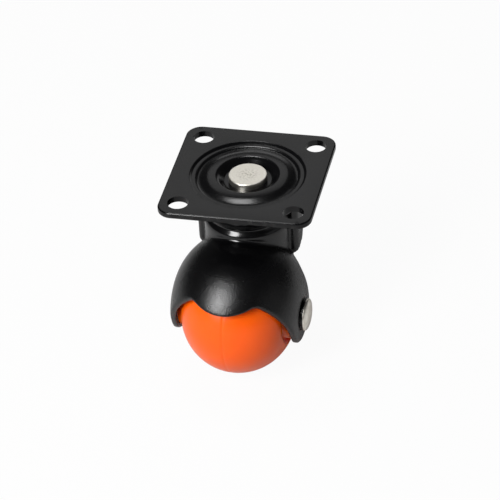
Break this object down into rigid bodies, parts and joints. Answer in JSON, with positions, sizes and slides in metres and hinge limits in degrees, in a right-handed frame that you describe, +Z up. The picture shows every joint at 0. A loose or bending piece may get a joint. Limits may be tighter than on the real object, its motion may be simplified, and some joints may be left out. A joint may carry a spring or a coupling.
{
  "type": "plate castor",
  "caption": "Swivel castor with a square screw-on plate, a black hooded fork turning on ball races and a ball-shaped orange wheel on a riveted axle.",
  "frame": {"origin": "middle of the plate's top face, on the kingpin's axis", "axes": "+Z up out of the plate's top face, X and Y along the plate's sides; the hood's dome stands towards -Y"},
  "size_m": [0.06, 0.0769, 0.0752],
  "materials": {
    "plate_paint": "satin black",
    "hood_paint": "gloss black",
    "bare_steel": "nickel plated",
    "ball_steel": "polished",
    "wheel_plastic": "gloss orange"
  },
  "bodies": {
    "plate": {"top_plate": "plate_paint", "kingpin": "bare_steel", "lower_race": "bare_steel"},
    "swivel": {"hood": "hood_paint", "axle_rivet": "bare_steel", "axle_sleeve": "bare_steel"},
    "wheel": {"wheel": "wheel_plastic"},
    "upper_balls": {"upper_ball_01": "ball_steel", "upper_ball_02": "ball_steel", "upper_ball_03": "ball_steel", "upper_ball_04": "ball_steel", "upper_ball_05": "ball_steel", "upper_ball_06": "ball_steel", "upper_ball_07": "ball_steel", "upper_ball_08": "ball_steel", "upper_ball_09": "ball_steel", "upper_ball_10": "ball_steel", "upper_ball_11": "ball_steel", "upper_ball_12": "ball_steel", "upper_ball_13": "ball_steel", "upper_ball_14": "ball_steel", "upper_ball_15": "ball_steel", "upper_ball_16": "ball_steel", "upper_ball_17": "ball_steel", "upper_ball_18": "ball_steel"},
    "lower_balls": {"lower_ball_01": "ball_steel", "lower_ball_02": "ball_steel", "lower_ball_03": "ball_steel", "lower_ball_04": "ball_steel", "lower_ball_05": "ball_steel", "lower_ball_06": "ball_steel", "lower_ball_07": "ball_steel", "lower_ball_08": "ball_steel", "lower_ball_09": "ball_steel", "lower_ball_10": "ball_steel", "lower_ball_11": "ball_steel", "lower_ball_12": "ball_steel", "lower_ball_13": "ball_steel"}
  },
  "joints": [
    {"name": "swivel", "type": "hinge", "parent": "plate", "child": "swivel", "pos_m": [0, 0, 0], "axis": [0, 0, 1], "continuous": true},
    {"name": "wheel_spin", "type": "hinge", "parent": "swivel", "child": "wheel", "pos_m": [-0.00106, -0.02027, -0.049], "axis": [0.9986, -0.0523, 0], "continuous": true},
    {"name": "upper_ball_orbit", "type": "hinge", "parent": "plate", "child": "upper_balls", "pos_m": [0, 0, 0], "axis": [0, 0, 1], "continuous": true},
    {"name": "lower_ball_orbit", "type": "hinge", "parent": "plate", "child": "lower_balls", "pos_m": [0, 0, 0], "axis": [0, 0, 1], "continuous": true}
  ],
  "couplings": [
    {"joint": "upper_ball_orbit", "follows": "swivel", "ratio": 0.5},
    {"joint": "lower_ball_orbit", "follows": "swivel", "ratio": 0.5}
  ]
}
